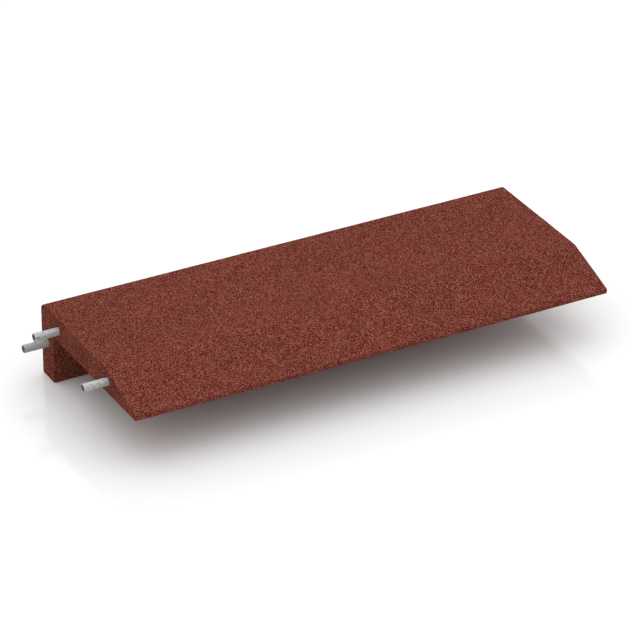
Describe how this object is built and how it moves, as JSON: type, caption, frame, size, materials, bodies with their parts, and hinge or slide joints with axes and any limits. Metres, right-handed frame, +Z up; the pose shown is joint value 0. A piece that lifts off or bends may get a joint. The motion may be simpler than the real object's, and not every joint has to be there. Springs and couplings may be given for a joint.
{
  "type": "threshold ramp",
  "caption": "Red rubber-granulate threshold ramp with a bevelled front slab, a drop-down rear leg and plug-in connecting tubes at one end.",
  "frame": {"origin": "centre of the leg's foot, where the leg would stand on the lower level", "axes": "+X along the ramp, away from the end with the connecting tubes; +Y towards the back of the leg, so the bevel and the toe face -Y; +Z up"},
  "size_m": [1.05, 0.4, 0.15],
  "materials": {
    "red_rubber_granulate": "matt bonded granulate",
    "galvanised_steel_back": "mottled galvanised",
    "galvanised_steel_leg": "mottled galvanised",
    "galvanised_steel_front": "mottled galvanised"
  },
  "bodies": {
    "ramp": {"ramp_body": "red_rubber_granulate"},
    "tube_back": {"connecting_tube_back": "galvanised_steel_back"},
    "tube_leg": {"connecting_tube_leg": "galvanised_steel_leg"},
    "tube_front": {"connecting_tube_front": "galvanised_steel_front"}
  },
  "joints": [
    {"name": "back_tube_slide", "type": "slide", "parent": "ramp", "child": "tube_back", "axis": [-1, 0, 0], "range_m": [0, 0.045]},
    {"name": "leg_tube_slide", "type": "slide", "parent": "ramp", "child": "tube_leg", "axis": [-1, 0, 0], "range_m": [0, 0.045]},
    {"name": "front_tube_slide", "type": "slide", "parent": "ramp", "child": "tube_front", "axis": [-1, 0, 0], "range_m": [0, 0.045]}
  ]
}
